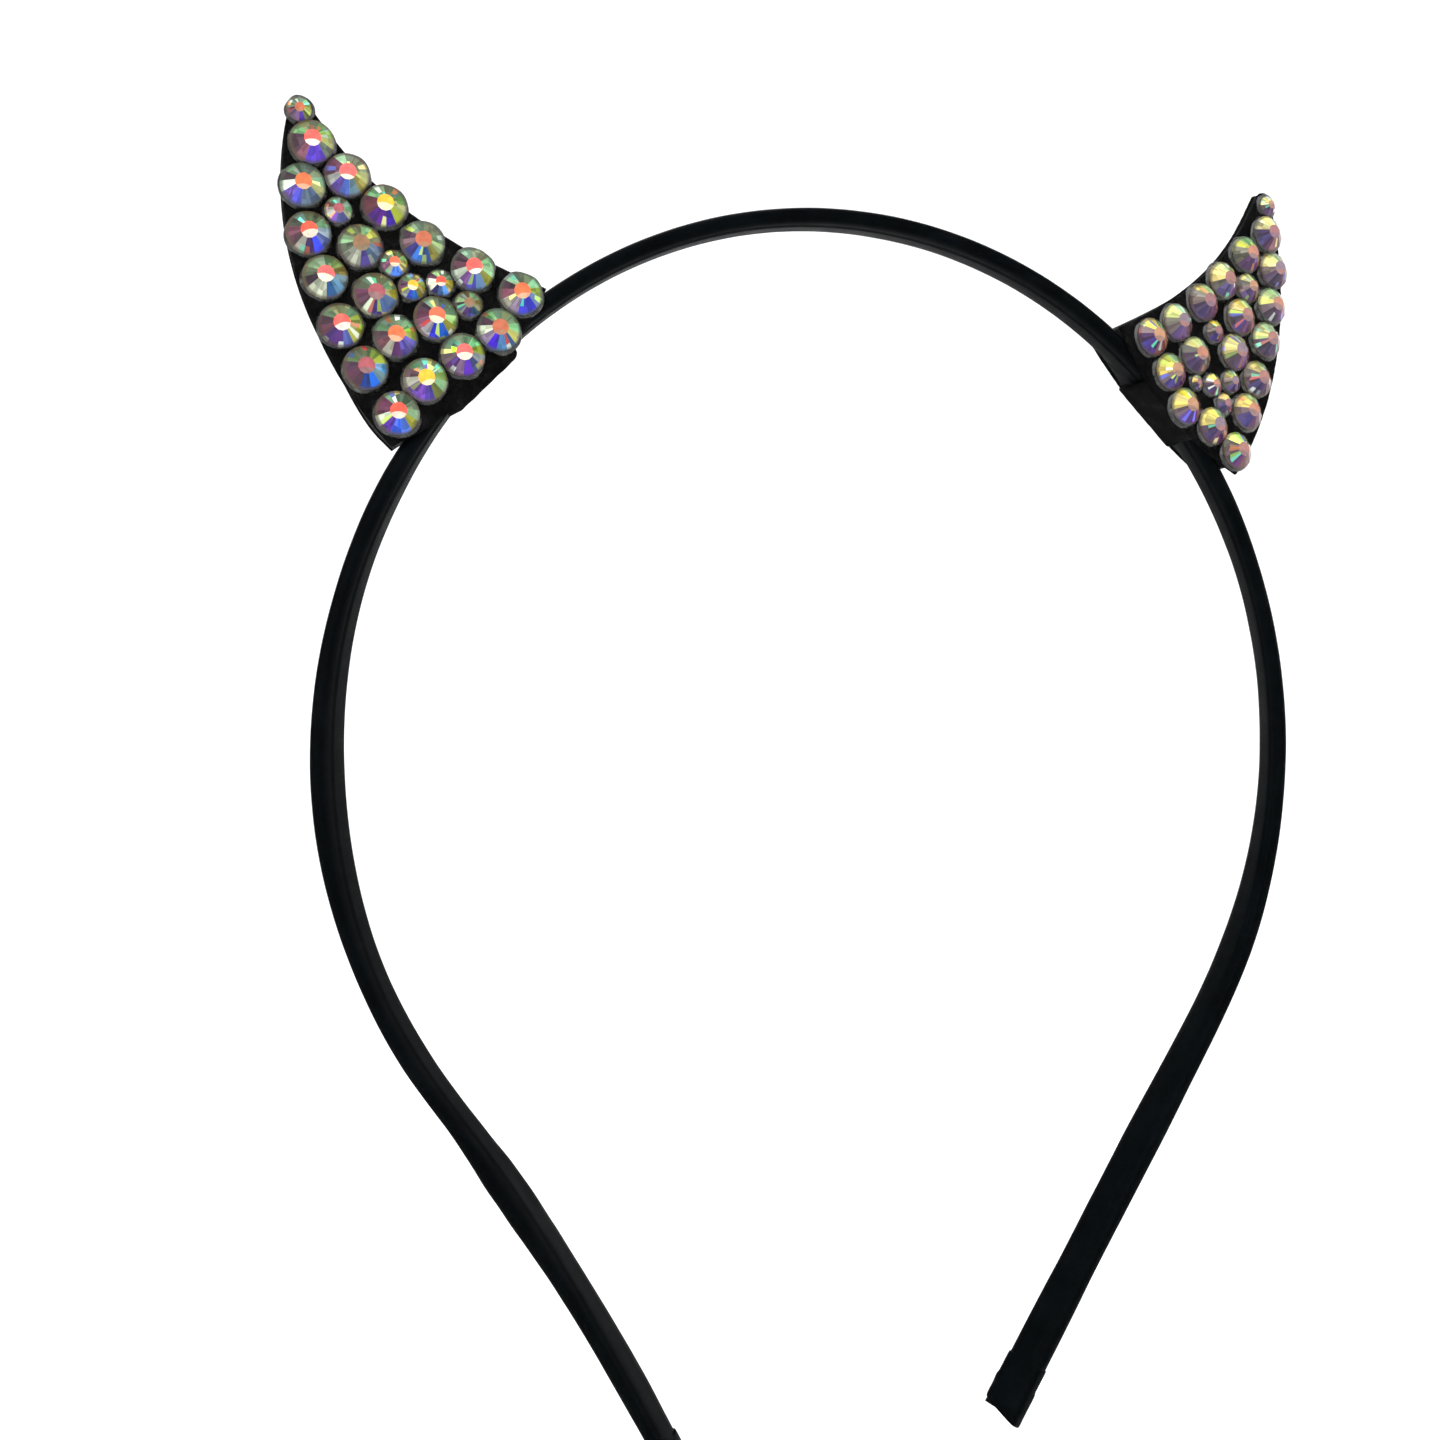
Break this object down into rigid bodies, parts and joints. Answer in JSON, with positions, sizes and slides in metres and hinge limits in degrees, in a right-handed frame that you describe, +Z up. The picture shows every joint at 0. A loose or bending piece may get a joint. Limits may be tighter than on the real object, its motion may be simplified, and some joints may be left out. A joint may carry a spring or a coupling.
{
  "type": "animal ears headband",
  "caption": "Headband: a satin-covered spring strip with two curved horn-shaped felt ears set with flat-backed faceted crystals, worn over the top of the head",
  "frame": {"origin": "on the inner face of the band at its crown, where it rests on the head", "axes": "+Z up out of the top of the head, -Y the front that carries the crystals, +X to the right as seen from the front"},
  "size_m": [0.1321, 0.0091, 0.1599],
  "materials": {
    "satin": "black satin ribbon, tight lengthwise weave, soft sheen",
    "felt": "black pressed felt, matt, with clear glue between the crystals",
    "foam": "black closed-cell craft foam, cut edge",
    "spring_steel": "plain rolled spring strip",
    "crystal": "faceted flat-backed glass with a rainbow coating over foil"
  },
  "bodies": {
    "root": {"spring_strip": "spring_steel", "satin_cover": "satin", "left_tip_fold": "satin", "right_tip_fold": "satin", "left_ear_front_felt": "felt", "left_ear_back_felt": "felt", "left_ear_foam": "foam", "right_ear_front_felt": "felt", "right_ear_back_felt": "felt", "right_ear_foam": "foam", "left_crystal_01": "crystal", "left_crystal_02": "crystal", "left_crystal_03": "crystal", "left_crystal_04": "crystal", "left_crystal_05": "crystal", "left_crystal_06": "crystal", "left_crystal_07": "crystal", "left_crystal_08": "crystal", "left_crystal_09": "crystal", "left_crystal_10": "crystal", "left_crystal_11": "crystal", "left_crystal_12": "crystal", "left_crystal_13": "crystal", "left_crystal_14": "crystal", "left_crystal_15": "crystal", "left_crystal_16": "crystal", "left_crystal_17": "crystal", "left_crystal_18": "crystal", "left_crystal_19": "crystal", "left_crystal_20": "crystal", "left_crystal_21": "crystal", "left_crystal_22": "crystal", "left_crystal_23": "crystal", "left_crystal_24": "crystal", "left_crystal_25": "crystal", "right_crystal_01": "crystal", "right_crystal_02": "crystal", "right_crystal_03": "crystal", "right_crystal_04": "crystal", "right_crystal_05": "crystal", "right_crystal_06": "crystal", "right_crystal_07": "crystal", "right_crystal_08": "crystal", "right_crystal_09": "crystal", "right_crystal_10": "crystal", "right_crystal_11": "crystal", "right_crystal_12": "crystal", "right_crystal_13": "crystal", "right_crystal_14": "crystal", "right_crystal_15": "crystal", "right_crystal_16": "crystal", "right_crystal_17": "crystal", "right_crystal_18": "crystal", "right_crystal_19": "crystal", "right_crystal_20": "crystal", "right_crystal_21": "crystal", "right_crystal_22": "crystal", "right_crystal_23": "crystal", "right_crystal_24": "crystal", "right_crystal_25": "crystal"}
  },
  "joints": []
}
